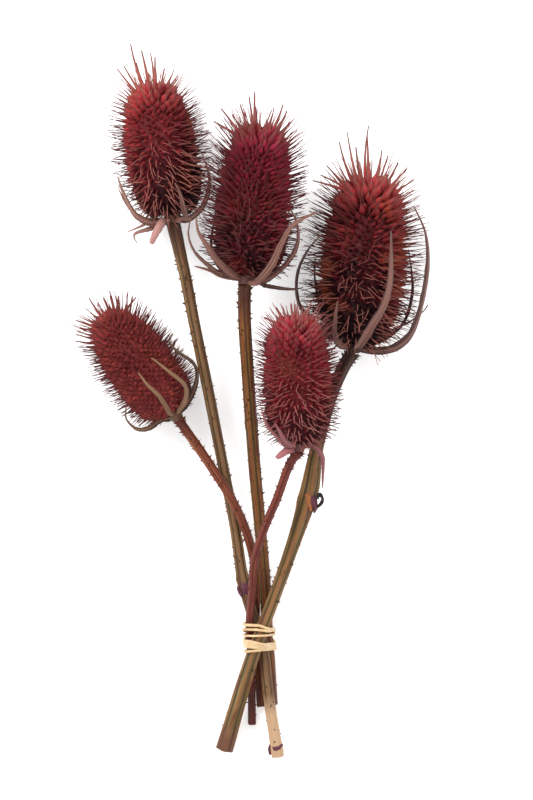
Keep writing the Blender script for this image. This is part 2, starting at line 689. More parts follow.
# %% [markdown]
# The bracts of a head grow from a swollen collar on top of the stem. The collar could be part of the
# stem, but it moves with the head and hides the roots of the bracts, so it is a cone of its own with
# bevelled edges, joined with them.

# %% The bracts
BRACT_THICKNESS = 0.5
BLUNT_BRACTS = {(1, 4), (5, 2)}
# How pale each placed bract dried, from 0 to 1. Those behind are all middling.
BRACT_SHADES = {
    1: [0.55, 0.45, 0.35, 0.70, 1.0, 0.45, 0.9],
    2: [0.35, 0.50, 0.65, 0.62, 0.35, 0.15],
    3: [0.0, 0.50, 0.72, 0.35, 0.15, 0.10, 0.20],
    4: [0.80, 0.75, 0.15, 0.35, 0.60],
    5: [0.45, 0.60, 0.90, 0.50],
}
MIDDLING = 0.3
# The collar's radius under the head, how far it reaches into head and stem together, and its bevel.
COLLAR_RADIUS = 4.3
COLLAR_OVERLAP = 0.6
COLLAR_BEVEL = 0.5
# How dark the collar under each head dried, from 0.5 for the colour of the bracts to 0.9.
COLLAR_DARKNESS = {1: 0.55, 2: 0.55, 3: 0.9, 4: 0.65, 5: 0.8}


def make_bracts(number):
    """All the bracts of one head and the swollen collar they grow from, as one piece."""
    draw = np.random.default_rng(SEED * 5 + number)
    blades = []
    shades = BRACT_SHADES[number]
    for k, (width, points) in enumerate(bract_paths(number)):
        length = lengths_along(points)[-1]
        narrowing = BLUNT if (number, k) in BLUNT_BRACTS else POINTED
        blade = make_blade(f"blade_{number}_{k}", width, length, draw, narrowing, BRACT_THICKNESS)
        bend_along(blade, points, facing_out(number), length)
        store(blade, "shade", np.full(len(blade.data.vertices), shades[k] if k < len(shades) else MIDDLING))
        blades.append(blade)
    base, axis, _ = head_axis(number)
    nothing_selected()
    middle = base - axis * 0.5 * COLLAR_HEIGHT * MM
    bpy.ops.mesh.primitive_cone_add(vertices=24, radius1=STEMS[number][0][3] * MM,
                                    radius2=COLLAR_RADIUS * MM,
                                    depth=(COLLAR_HEIGHT + COLLAR_OVERLAP) * MM, location=middle,
                                    rotation=axis.to_track_quat("Z", "Y").to_euler())
    collar = named(f"collar_{number}")
    bpy.ops.object.mode_set(mode="EDIT")
    bpy.ops.mesh.select_all(action="SELECT")
    bpy.ops.mesh.bevel(offset=COLLAR_BEVEL * MM, segments=2)
    bpy.ops.object.mode_set(mode="OBJECT")
    count = len(collar.data.vertices)
    for name, value in (("along", COLLAR_DARKNESS[number]), ("across", 0.5), ("shade", 0.5)):
        store(collar, name, np.full(count, value))
    return joined([collar] + blades, f"dried_bracts_{number}")


bracts = {number: make_bracts(number) for number in HEADS}
print("bract faces:", {n: len(b.data.polygons) for n, b in bracts.items()})

# %% [markdown]
# Where a leaf was stripped from a stem, its torn base stays at the node: rags of tissue that dried
# purple, orange or nearly black, one of them rolled to a hook. They are small blades of the same
# make as the bracts, facing away from the middle of their stem.

# %% Torn leaf bases at the nodes
PURPLE, ORANGE, SCORCHED = 0.33, 0.66, 1.0
TORN_THICKNESS = 0.6
# Prickles are coloured as if they stood this high between furrow and rib.
PRICKLE_CREST = 0.16
# Each: its stem, its width, how it dried, and its points.
TORN_LEAVES = [
    (3, 2.6, ORANGE, [(27.2, -46.2, 27.6), (28.4, -49.0, 28.1), (29.4, -52.0, 27.4), (29.8, -54.6, 25.8)]),
    (3, 4.2, PURPLE, [(29.8, -47.6, 27.3), (31.4, -50.4, 27.2), (32.6, -53.0, 25.4), (31.4, -55.6, 23.4)]),
    (3, 2.6, SCORCHED, [(32.0, -53.2, 25.8), (34.4, -51.6, 26.2), (35.6, -49.2, 26.2), (34.8, -46.9, 26.4),
                        (33.2, -47.2, 26.8), (33.1, -48.8, 27.0)]),
    (1, 2.6, PURPLE, [(-6.4, -91.6, 12.2), (-7.2, -94.4, 12.6), (-5.4, -98.0, 13.4)]),
    (1, 3.8, PURPLE, [(-4.6, -91.4, 14.2), (-3.3, -93.8, 15.0), (-3.2, -97.0, 14.2)]),
    (1, 2.4, PURPLE, [(9.4, -173.6, 7.4), (12.4, -174.6, 10.0), (15.4, -173.0, 7.8)]),
    (1, 2.4, PURPLE, [(9.6, -172.0, 7.6), (8.4, -175.0, 7.4), (8.9, -178.2, 7.0)]),
]


def facing_from_stem(number):
    """For torn leaves: the blade shows its back away from the middle of its stem."""
    def wish(place, along, last):
        return (place - stem_at_y(number, place.y)[0]).normalized()
    return wish


def make_torn_leaf(row, draw):
    """One torn leaf base, bent on its route."""
    number, width, dried, points = row
    route = [Vector(point) * MM for point in points]
    length = lengths_along(route)[-1]
    blade = make_blade(f"torn_leaf_{number}", width, length, draw, BLUNT, TORN_THICKNESS)
    bend_along(blade, route, facing_from_stem(number), length)
    store(blade, "torn", np.full(len(blade.data.vertices), dried))
    return blade


leaf_draw = np.random.default_rng(SEED * 17)
for number in STEMS:
    store(thorns[number], "crest", np.full(len(thorns[number].data.vertices), PRICKLE_CREST))
    store(stems[number], "torn", np.zeros(len(stems[number].data.vertices)))
    rags = [make_torn_leaf(row, leaf_draw) for row in TORN_LEAVES if row[0] == number]
    stems[number] = joined([stems[number], thorns[number]] + rags, f"ribbed_stem_{number}")
print("stem faces:", {n: len(s.data.polygons) for n, s in stems.items()})

# %% [markdown]
# Where a bract or a stem crosses a head, the real hairs were pushed aside or broke off. To bend each
# one aside would be slow, so each is kept short instead. For that, the middle lines of all bracts
# and stems go in a search tree, which finds the nearest of many points quickly.

# %% Room between bracts and stems
BRACT_SAMPLES = 40
STEM_SAMPLES = 150
# How many places of a spine are tried, how far round each is searched, and the gap that it keeps.
SPINE_STEPS = 6
NEAR = 5.0
SPINE_GAP = 0.35


def crowded_places():
    """A search tree of every bract's and stem's middle line, with a half width for each point."""
    found = []
    for number in HEADS:
        for width, points in bract_paths(number):
            found += [(curve_through(points, k / BRACT_SAMPLES), 0.5 * width * MM)
                      for k in range(2, BRACT_SAMPLES + 1)]
        found += [stem_at(number, k / STEM_SAMPLES) for k in range(STEM_SAMPLES + 1)]
    tree = KDTree(len(found))
    for k, (place, _) in enumerate(found):
        tree.insert(place, k)
    tree.balance()
    return tree, [half for _, half in found]


def room_for(root, tip, tree, halves):
    """How much of a spine fits before it meets a bract or a stem, from 0 to 1."""
    for k in range(1, SPINE_STEPS + 1):
        place = root.lerp(tip, k / SPINE_STEPS)
        for _, found, distance in tree.find_range(place, NEAR * MM):
            if distance < halves[found] + SPINE_GAP * MM:
                return (k - 1) / SPINE_STEPS
    return 1.0


tree, halves = crowded_places()
print("points to keep clear of:", len(halves))

# %% [markdown]
# A head is packed with hundreds of spines. Each is one broad scale that ends in a fine hair. Near the
# crown the scale is as broad as a petal, and the few awns on top are longer and blunt. All three are
# needles, each with rings of its own.

# %% Patterns for the heads
needle = make_needle("spine", 4, [(0, 1.2), (0.11, 1.30), (0.21, 1.05), (0.31, 0.64), (0.41, 0.34),
                                  (0.53, 0.22), (0.96, 0.15), (1, 0.0)])
petal = make_needle("petal", 4, [(0, 1.7), (0.12, 2.1), (0.24, 1.8), (0.35, 1.05), (0.45, 0.40),
                                 (0.56, 0.21), (0.96, 0.14), (1, 0.0)])
awn = make_needle("awn", 5, [(0, 1.3), (0.15, 1.5), (0.35, 1.35), (0.55, 0.95), (0.75, 0.70), (0.97, 0.50),
                             (1, 0.0)])
print("faces of a spine, a petal and an awn:", [len(part.data.polygons) for part in (needle, petal, awn)])

# %% [markdown]
# How far a spine leans and how long it is change from the foot to the crown, so both are read from
# short tables. Each head has its own ways as well: how close its scales sit, how far they lean up,
# and how much its hairs waver.

# %% How the spines stand
# How far apart the scales of each head sit.
SPACING = {1: 3.0, 2: 2.7, 3: 3.0, 4: 2.5, 5: 2.7}
# Along each head: how far a spine leans up from square to the axis, and its length as a share of the
# free depth outside the core. Each head leans its spines a few degrees further.
LEAN_AT = [(0, -42), (0.05, -26), (0.14, -10), (0.5, 3), (0.75, 14), (0.88, 34), (0.96, 57), (1, 80)]
LENGTH_AT = [(0, 0.80), (0.1, 1.00), (0.4, 1.08), (0.72, 1.20), (0.87, 1.40), (0.95, 1.45), (1, 1.0)]
OWN_LEAN = {1: 0.0, 2: 9.0, 3: 1.0, 4: 2.0, 5: 4.0}
# How far the hairs curve up and how far they waver, as shares of their length.
CURVE_UP = {1: 0.03, 2: 0.08, 3: 0.04, 4: 0.14, 5: 0.08}
WAVY = {1: 0.16, 2: 0.10, 3: 0.18, 4: 0.05, 5: 0.17}
# Which way the hairs of the lower half were combed when the bunch was packed.
COMBED = {1: (0.30, -0.42, 0.0), 2: (0.0, 0.0, 0.0), 3: (0.05, -0.22, 0.0), 4: (0.0, 0.0, 0.0),
          5: (0.05, -0.30, 0.0)}


def interpolate(rows, t):
    """The value at t between rows of a place and a value."""
    return float(np.interp(t, [row[0] for row in rows], [row[1] for row in rows]))


def head_profile(number):
    """Heights, radii, the share of the surface below each height, and the whole surface."""
    _, _, length = head_axis(number)
    t = np.linspace(0.004, 0.996, 300)
    radius = np.array([core_radius(number, value) for value in t])
    area = np.cumsum(radius * np.sqrt(1 + np.gradient(radius, t * length) ** 2))
    whole = 2 * math.pi * area[-1] * (t[1] - t[0]) * length
    return t, radius, area / area[-1], whole


print("at the foot a spine leans", interpolate(LEAN_AT, 0), "degrees, at the crown", interpolate(LEAN_AT, 1))

# %% [markdown]
# Growth puts each new scale a golden angle round from the last, so the scales stand in crossing
# spirals, and the same rule places them here. Each spine also carries two numbers for its finish: how
# well it took the dye, which is best at the crown, and how pale its hair dried.

# %% The spines
GOLDEN = math.pi * (3 - math.sqrt(5))
# In closely packed rows each scale takes this share of the square of the spacing.
PACKED = 0.866
SCALE_WIDTH = 1.0
# How deep in the core a spine is rooted, and the least share of its length that a bract leaves it.
ROOT_DEPTH = 1.2
SHORTEST = 0.22
# How well the scales took the dye: at the foot, the gain to the crown, and the gain to the right.
DYE = {1: (0.08, 0.74, -0.14), 2: (0.14, 0.68, 0.14), 3: (0.02, 0.80, 0.12), 4: (0.58, 0.08, 0.0),
       5: (0.16, 0.56, 0.0)}
# From where the scales of the crown are as broad as petals, and how pale the hairs on top dried.
PETALS_FROM = {1: 0.80, 2: 0.86, 3: 0.80, 4: 0.97, 5: 0.72}
BLEACHED = {1: 0.7, 2: 0.3, 3: 0.65, 4: 0.15, 5: 0.65}
# How far each random draw strays, or between which shares.
TURN_SCATTER = 0.035
WAY_SCATTER = 0.09
BEND_SCATTER = 0.06
DYE_SCATTER = 0.10
LENGTH_SCATTER = (0.82, 1.12)
WIDTH_SCATTER = (0.8, 1.15)


def clamp(value):
    """The value, kept from 0 to 1."""
    return min(1.0, max(0.0, value))


def spine_shade(number, t, lower, facing, draw):
    """How well a spine took the dye and how pale its hair dried, both from 0 to 1."""
    foot, to_crown, to_right = DYE[number]
    dye = foot + to_crown * t + to_right * facing.x + draw.normal(0, DYE_SCATTER)
    lit = clamp((facing.z - 0.25) * 2.2) * clamp(0.25 + lower)
    crowned = clamp((t - 0.78) * 6)
    return clamp(dye), clamp(BLEACHED[number] * lit + 0.5 * crowned)


def make_spines(number):
    """All the spines of one head, laid by the golden angle."""
    _, _, length = head_axis(number)
    free = (HEADS[number]["reach"] - HEADS[number]["core"]) * MM
    turned = head_frame(number)
    spin = turned.to_3x3()
    up = Vector((0, 0, 1))
    draw = np.random.default_rng(SEED * 7 + number)
    heights, radii, shares, whole = head_profile(number)
    count = int(whole / (PACKED * (SPACING[number] * MM) ** 2))
    scales, petals = [], []
    for k in range(count):
        t = float(np.interp((k + 0.5) / count, shares, heights))
        lower = clamp(1.7 - t * 2.4)
        radius = float(np.interp(t, heights, radii))
        turn = k * GOLDEN + draw.normal(0, TURN_SCATTER)
        radial = Vector((math.cos(turn), math.sin(turn), 0))
        lean = math.radians(interpolate(LEAN_AT, t) + OWN_LEAN[number] * clamp(4 * (1 - t)))
        square = radial * math.cos(lean) + up * math.sin(lean)
        way = (square + Vector(draw.normal(0, WAY_SCATTER, 3))).normalized()
        size = free * interpolate(LENGTH_AT, t) * draw.uniform(*LENGTH_SCATTER)
        root = Vector((radius * radial.x, radius * radial.y, t * length)) - square * ROOT_DEPTH * MM
        sway = BEND_SCATTER + WAVY[number] * lower
        bend = up * draw.normal(CURVE_UP[number], sway)
        bend += radial.cross(up) * draw.normal(0, sway)
        root, way, bend, facing = turned @ root, spin @ way, spin @ bend, spin @ radial
        bend += Vector(COMBED[number]) * clamp(lower * 1.6) * max(0, facing.z)
        too_low = TABLE_CLEARANCE * MM - (root + (way + bend) * size).z
        bend.z += max(too_low, 0) / size
        size *= max(room_for(root, root + (way + bend) * size, tree, halves), SHORTEST)
        shade = spine_shade(number, t, lower, facing, draw)
        width = SCALE_WIDTH * MM * draw.uniform(*WIDTH_SCATTER)
        rows = petals if t > PETALS_FROM[number] else scales
        rows.append((root, way, size, width, bend, shade))
    laid = [lay_copies(f"spines_{number}", needle, scales), lay_copies(f"petals_{number}", petal, petals)]
    return joined(laid, f"spines_{number}")


spines = {number: make_spines(number) for number in HEADS}
print("spine faces:", {n: len(s.data.polygons) for n, s in spines.items()})

# %% [markdown]
# The crown ends in a tuft of long awns. Their tips are placed by hand, as seen from above, and how
# high each lies is left to chance. An awn is rooted on the side of the crown that its tip leans to.

# %% The awns
# Tips of the long awns on each crown, seen from above.
AWN_TIPS = {
    1: [(-61, 179.8), (-55.5, 176.3), (-48.5, 172.8), (-64.5, 168.8), (-68, 167.3), (-44, 166.8),
        (-37, 163.8), (-51, 175), (-58, 170)],
    2: [(1.5, 153.8), (-1.5, 151.8), (-6, 147.8), (15.5, 147.3), (-15.5, 145.8), (17.5, 144.3),
        (-19, 138.8), (2, 146), (19.5, 139), (-10, 143)],
    3: [(58.5, 138.8), (47.5, 135.3), (43.5, 130.3), (65, 126.3), (68, 123.3), (73, 119.3),
        (77.5, 116.3), (81.5, 111.3), (34, 113.3), (30, 110.3), (37, 118), (57.5, 134), (52, 128)],
    4: [(-82, 52.3), (-71.5, 55.8), (-73.5, 50.8), (-67, 53.3), (-58, 52.3), (-88.5, 40.8), (-87, 36.8)],
    5: [(12, 46.8), (15, 46.8), (19.5, 48.3), (21.5, 48.3), (6, 41.8), (28, 46.0)],
}
AWN_RADIUS = 0.72
# How far below or above the crown a tip lies.
AWN_DEPTHS = (-6, 9)
AWN_BLEACH = 1.15
# An awn's root: how far up the head, and how far from the axis as a share of its tip's distance.
AWN_ROOT_UP, AWN_ROOT_OUT = 0.93, 0.34


def make_awns(number):
    """The long awns of the crown, each from the crown's shoulder to its own tip."""
    base, axis, length = head_axis(number)
    draw = np.random.default_rng(SEED * 13 + number)
    rows = []
    for x, y in AWN_TIPS[number]:
        tip = Vector((x, y, 0)) * MM
        tip.z = (base + axis * length).z + draw.uniform(*AWN_DEPTHS) * MM
        side = tip - base - axis * (tip - base).dot(axis)
        root = base + axis * length * AWN_ROOT_UP + side * AWN_ROOT_OUT
        way = tip - root
        bend = Vector(draw.normal(0, 0.07, 3)) - side.normalized() * 0.05
        thick = AWN_RADIUS * draw.uniform(0.8, 1.1) * MM
        rows.append((root, way.normalized() - bend, way.length, thick, bend, (draw.uniform(0.75, 1.0), 0.2)))
    awns = lay_copies(f"awns_{number}", awn, rows)
    # An awn is bleached through at its foot, and less and less towards its tip.
    store(awns, "bleached", np.tile(AWN_BLEACH - get_points(awn)[:, 2], len(rows)))
    return awns


awns = {number: make_awns(number) for number in HEADS}
print("awns:", {number: len(tips) for number, tips in AWN_TIPS.items()})

# %% [markdown]
# The core shows only as the dark between the spines, so a sphere drawn out to the egg's outline is
# enough. It is a little lumpy with the feet of the scales. Core, spines and awns grew as one, and are
# joined in one piece.

# %% The cores and whole heads
LUMPS = 0.02
# The core is coloured as a spine is this far along, near its foot.
CORE_ALONG = 0.10


def make_core(number):
    """The egg-shaped core that the spines stand on."""
    nothing_selected()
    bpy.ops.mesh.primitive_uv_sphere_add(segments=72, ring_count=60, radius=1.0)
    piece = named(f"core_{number}")
    _, _, length = head_axis(number)
    points = get_points(piece)
    t = 1 - np.arccos(np.clip(points[:, 2], -1, 1)) / math.pi
    turn = np.arctan2(points[:, 1], points[:, 0])
    lumps = 1 + LUMPS * np.sin(21 * turn + 34 * t * math.pi) + LUMPS * np.sin(-13 * turn + 55 * t * math.pi)
    radius = np.array([core_radius(number, value) for value in t]) * lumps
    points = np.stack([radius * np.cos(turn), radius * np.sin(turn), t * length], axis=1)
    turned = np.array(head_frame(number))
    set_points(piece, points @ turned[:3, :3].T + turned[:3, 3])
    foot, to_crown, _ = DYE[number]
    store(piece, "along", np.full(len(points), CORE_ALONG))
    store(piece, "shade", foot + to_crown * t)
    store(piece, "bleached", np.zeros(len(points)))
    return piece


heads = {}
for number in HEADS:
    heads[number] = joined([make_core(number), spines[number], awns[number]], f"spiny_head_{number}")
    select_only(heads[number])
    bpy.ops.object.shade_smooth()
print("head faces:", {n: len(h.data.polygons) for n, h in heads.items()}, round(time.time() - STARTED), "s")

# %% [markdown]
# The tie is a flat rubber band wound round the stems under tension, so each turn takes the shortest
# way round them: straight between two stems and curved where it lies on one. A torus has the right
# weave of faces, and each of its points is carried to that outline.

# %% The band
# Each turn: where it crosses on the left and on the right, how far it strays beneath, and how wide.
TIE_TURNS = [(-111.7, -114.4, 0.0, 1.7), (-114.3, -115.2, 4.0, 1.5), (-117.7, -117.3, -2.0, 1.3),
             (-120.4, -122.2, -3.0, 1.9), (-121.7, -123.0, 0.0, 1.9), (-123.0, -123.8, 0.0, 1.8),
             (-125.6, -124.6, 0.0, 1.4)]
TIE_GAP = 0.15
TIE_HALF_THICK = 0.75
# The stems' places are looked up for every millimetre between these two.
TIE_LOW, TIE_HIGH = -130, -108
TORUS_RADIUS = 10.0

tie_rows = {y: [stem_at_y(number, y * MM) for number in STEMS] for y in range(TIE_LOW, TIE_HIGH + 1)}


def tie_outline(turn, y_mm):
    """Where a taut band lies, seen along the bunch, at a turn round it."""
    push = Vector((math.cos(turn), 0, math.sin(turn)))
    row = tie_rows[round(min(max(y_mm, TIE_LOW), TIE_HIGH))]
    centre, radius = max(row, key=lambda stem: stem[0].dot(push) + stem[1])
    return centre + push * (radius + TIE_GAP * MM), push


def make_turn(k):
    """One turn of the band."""
    left, right, stray, wide = TIE_TURNS[k]
    nothing_selected()
    bpy.ops.mesh.primitive_torus_add(major_segments=120, minor_segments=10, major_radius=TORUS_RADIUS,
                                     minor_radius=1.0)
    piece = named(f"band_turn_{k}")
    points = get_points(piece)
    laid = []
    for x, y, z in points:
        turn = math.atan2(y, x)
        along = (left + right) / 2 + (right - left) / 2 * math.cos(turn)
        along -= stray * max(0.0, -math.sin(turn))
        place, push = tie_outline(turn, along)
        away = (math.hypot(x, y) - TORUS_RADIUS + 1.0) * TIE_HALF_THICK * MM
        place = place + push * away
        laid.append((place.x, along * MM + z * wide / 2 * MM, place.z))
    laid = np.array(laid)
    laid[:, 2] = np.maximum(laid[:, 2], TABLE_CLEARANCE * MM)
    set_points(piece, laid)
    apply_modifier(piece, "SMOOTH", factor=0.4, iterations=2)
    bpy.ops.object.shade_smooth()
    return piece


band = joined([make_turn(k) for k in range(len(TIE_TURNS))], "rubber_band")
print("band faces:", len(band.data.polygons))

# %% [markdown]
# Finishes. Colours are written as the hex values that an artist reads off a swatch, and one function
# turns them to the linear values that the shader wants. One more adds a node with its settings and
# its links, so that each material reads as a list of what it is made of. The natural finishes here
# are colours laid over each other, each where some value rises, so a third function lays them.

# %% Colour and node helpers
def hex_colour(code):
    """An sRGB hex value as linear RGBA."""
    parts = [int(code[k:k + 2], 16) / 255 for k in (1, 3, 5)]
    return tuple(c / 12.92 if c <= 0.04045 else ((c + 0.055) / 1.055) ** 2.4 for c in parts) + (1.0,)


def add_node(material, kind, inputs=None, stops=(), **settings):
    """Adds a node, sets its properties and colour stops, and sets or links its inputs."""
    made = material.node_tree.nodes.new(kind)
    for name, value in settings.items():
        setattr(made, name, value)
    for name, value in (inputs or {}).items():
        if isinstance(value, bpy.types.NodeSocket):
            material.node_tree.links.new(value, made.inputs[name])
        else:
            made.inputs[name].default_value = hex_colour(value) if isinstance(value, str) else value
    for k, (place, code) in enumerate(stops):
        stop = made.color_ramp.elements[k] if k < 2 else made.color_ramp.elements.new(place)
        stop.position, stop.color = place, hex_colour(code)
    return made


def new_material(name, roughness, specular):
    """An empty Principled material and its shader node."""
    made = bpy.data.materials.new(name)
    made.use_nodes = True
    shader = made.node_tree.nodes["Principled BSDF"]
    shader.inputs["Roughness"].default_value = roughness
    shader.inputs["Specular IOR Level"].default_value = specular
    return made, shader


def link(material, output, shader, name):
    """Links an output to one input of the shader."""
    material.node_tree.links.new(output, shader.inputs[name])


def lay_colours(material, colour, layers):
    """Lays each layer's colour over what is there, more and more as its value nears the end.

    A layer is the value that it follows, from where to where, how much at most, and its colour.
    """
    for value, start, end, most, over in layers:
        share = add_node(material, "ShaderNodeMapRange", {"Value": value, "From Min": start, "From Max": end,
                                                          "To Max": most}).outputs[0]
        colour = add_node(material, "ShaderNodeMix", {0: share, 6: colour, 7: over},
                          data_type="RGBA").outputs[2]
    return colour


print("crimson is", [round(c, 3) for c in hex_colour("#7c2a33")])

# %% [markdown]
# Dyed spines: dried cellulose that soaked up crimson dye. The dye pools deep between the spines,
# where it looks nearly black, and the scales are crimson with rusty patches. The fine hairs dried
# brown, or a dusty pink on the upper side of the heads, which the light reached. Every point knows how
# far along its spine it lies, how well its scale took the dye and how bleached its hair is.

# %% Dyed spines
# How wide the patches are where the dye took better or worse, and the rusty ones.
BLOTCH_SIZE = 12
RUST_SIZE = 21


def make_spine_material(name, deep, middle, bright, hair, rusty, sheltered):
    """Dyed, dried teasel scale: dark at the foot, crimson, then a pale hair with a dark end."""
    made, shader = new_material(name, 0.65, 0.15)
    along, shade, bleached = [add_node(made, "ShaderNodeAttribute", attribute_name=name).outputs["Fac"]
                              for name in ("along", "shade", "bleached")]
    place = add_node(made, "ShaderNodeTexCoord").outputs["Object"]
    hair_colour = add_node(made, "ShaderNodeMix", {0: bleached, 6: sheltered, 7: hair},
                           data_type="RGBA").outputs[2]
    blotch = add_node(made, "ShaderNodeTexNoise", {"Vector": place, "Scale": 1 / (BLOTCH_SIZE * MM),
                                                  "Detail": 3.0})
    patch = add_node(made, "ShaderNodeMath", {0: blotch.outputs["Fac"], 1: 0.7, 2: -0.35},
                     operation="MULTIPLY_ADD")
    took = add_node(made, "ShaderNodeMath", {0: shade, 1: patch.outputs[0]}, operation="ADD")
    colour = add_node(made, "ShaderNodeValToRGB", {"Fac": took.outputs[0]},
                      stops=[(0.15, deep), (0.45, middle), (0.85, bright)]).outputs["Color"]
    rust = add_node(made, "ShaderNodeTexNoise", {"Vector": place, "Scale": 1 / (RUST_SIZE * MM),
                                                 "Detail": 1.0})
    layers = [(rust.outputs["Fac"], 0.56, 0.66, 0.7, rusty), (along, 0.22, 0.0, 0.9, deep),
              (along, 0.31, 0.47, 0.9, hair_colour), (along, 0.85, 1.0, 0.5, middle)]
    colour = lay_colours(made, colour, layers)
    link(made, colour, shader, "Base Color")
    return made


# Each head's colours, in the order of the function's arguments.
SPINE_COLOURS = {
    1: ("#26060c", "#641820", "#a03436", "#aa6a5e", "#8a3c20", "#461e1e"),
    2: ("#22060b", "#5c141e", "#90243a", "#9c6056", "#6a1e18", "#42181c"),
    3: ("#1c050a", "#541219", "#a4383a", "#a4665a", "#8c3c24", "#421c1c"),
    4: ("#44141a", "#762a2c", "#923a34", "#8c4c42", "#823628", "#4a2220"),
    5: ("#30080e", "#6e1a20", "#9c2c38", "#b07068", "#7c3420", "#522024"),
}
spine_finish = {n: make_spine_material(f"dyed_teasel_spines_{n}", *row) for n, row in SPINE_COLOURS.items()}
print("spine finishes:", len(spine_finish))

# %% [markdown]
# Dried bract: a papery leaf that kept a little of the dye. It dries tan to pinkish brown with fine
# lengthwise streaks about 0.4 mm wide, a paler keel, dark edges and a darker, scorched-looking tip.
# The veins between the streaks are finer still, and only roughen the leaf.

# %% Dried bracts
# Half the width of a middling bract and its length, and the width and length of a streak on it.
BRACT_HALF, BRACT_LENGTH = 2.0, 35.2
STREAK_WIDTH, STREAK_LENGTH = 0.4, 16.0
# So far apart in the noise that no two bracts share their streaks.
APART = 40.0
# How much finer than a streak the noise of the colour and the noise of the relief are.
COLOUR_NOISE, VEIN_NOISE = 1.6, 6.0


def make_bract_material(name, pale, middle, dark):
    """Papery dried leaf with veins along its length."""
    made, shader = new_material(name, 0.62, 0.35)
    along, across, shade = [add_node(made, "ShaderNodeAttribute", attribute_name=name).outputs["Fac"]
                            for name in ("along", "across", "shade")]
    beside = add_node(made, "ShaderNodeMath", {0: across}, operation="ABSOLUTE").outputs[0]
    spread = add_node(made, "ShaderNodeCombineXYZ", {"X": across, "Y": along, "Z": shade}).outputs[0]
    streaks = (BRACT_HALF / STREAK_WIDTH, BRACT_LENGTH / STREAK_LENGTH, APART)
    scaled = add_node(made, "ShaderNodeMapping", {"Vector": spread, "Scale": streaks}).outputs[0]
    grain = add_node(made, "ShaderNodeTexNoise", {"Vector": scaled, "Scale": COLOUR_NOISE, "Detail": 5.0})
    streak = add_node(made, "ShaderNodeMapRange", {"Value": grain.outputs["Fac"], "From Min": 0.36,
                                                   "From Max": 0.64}).outputs[0]
    tint = add_node(made, "ShaderNodeMath", {0: shade, 1: 0.9, 2: -0.45},
                    operation="MULTIPLY_ADD").outputs[0]
    tone = add_node(made, "ShaderNodeMath", {0: streak, 1: tint}, operation="ADD").outputs[0]
    colour = add_node(made, "ShaderNodeValToRGB", {"Fac": tone},
                      stops=[(0.15, dark), (0.5, middle), (0.9, pale)]).outputs["Color"]
    colour = lay_colours(made, colour, [(beside, 0.20, 0.05, 0.65, pale), (beside, 0.70, 1.0, 0.6, dark),
                                        (along, 0.55, 0.95, 0.8, dark)])
    link(made, colour, shader, "Base Color")
    vein = add_node(made, "ShaderNodeTexNoise", {"Vector": scaled, "Scale": VEIN_NOISE, "Detail": 2.0})
    bump = add_node(made, "ShaderNodeBump", {"Height": vein.outputs["Fac"], "Strength": 0.5,
                                             "Distance": 0.15 * MM})
    link(made, bump.outputs[0], shader, "Normal")
    return made


BRACT_COLOURS = {1: ("#a87872", "#6c4c38", "#33211a"), 2: ("#8c6050", "#64403a", "#2c1816"),
                 3: ("#8c6458", "#603a36", "#221210"), 4: ("#8c6a4c", "#5c3e2e", "#281a15"),
                 5: ("#a06064", "#6c3a3c", "#301515")}
bract_finish = {n: make_bract_material(f"dried_bract_{n}", *row) for n, row in BRACT_COLOURS.items()}
print("bract finishes:", len(bract_finish))

# %% [markdown]
# Dried stem: broad olive and tan panels lie between paler or redder ribs, the furrows hold dark
# brown, and crimson dye ran down from the heads. Each stem has colours of its own, and so have its
# top, up to where the dye ran, and its foot.

# %% Colours of the stems
CUT_WOOD = "#967850"
STEM_LOOKS = {
    1: dict(panel=("#3c2a1a", "#6a5030", "#8e7048"), other_panel="#6e4e2c", rib="#74523a", groove="#2a1a10",
            stain="#56301e", top="#44221a", top_until=0.04, foot="#c8a482", foot_from=0.88),
    2: dict(panel=("#40290f", "#6a451a", "#8a5c28"), other_panel="#5e451a", rib="#70341a", groove="#2a130b",
            stain="#541f12", top="#3c1a14", top_until=0.07, foot="#4c2618", foot_from=0.90),
    3: dict(panel=("#342a14", "#66522a", "#8c7244"), other_panel="#74502a", rib="#845636", groove="#261a0e",
            stain="#562e1a", top="#2c120e", top_until=0.22, foot="#5c3428", foot_from=0.93),
    4: dict(panel=("#522614", "#7c3f20", "#9c603a"), other_panel="#6c321e", rib="#682b1c", groove="#34160e",
            stain="#5a231a", top="#4a1c14", top_until=0.05, foot="#3e1d16", foot_from=0.90),
    5: dict(panel=("#4c1e18", "#703022", "#8c4a34"), other_panel="#64291e", rib="#62271c", groove="#2e0f10",
            stain="#461719", top="#58241c", top_until=0.05, foot="#3c1814", foot_from=0.86),
}
print("stem 3 is dark over", STEM_LOOKS[3]["top_until"], "of its length")

# %% [markdown]
# Streaks follow a stem because they read how far round and how far along it a point lies. Fibres are
# a third of a millimetre wide, and panels and stains nearly two. Torn leaf bases read how they dried,
# and ribs and furrows read how high on a rib a point lies.

# %% Dried stems
# The radius and the length of the stem that the sizes below are meant for.
STEM_RADIUS, STEM_LENGTH = 2.88, 252.0
# Each kind of streak: its width, its length and how much detail it has.
STREAKS = {"fibre": (0.32, 28.0, 7.0), "panel": (1.8, 84.0, 2.0), "stain": (1.92, 18.0, 4.0)}


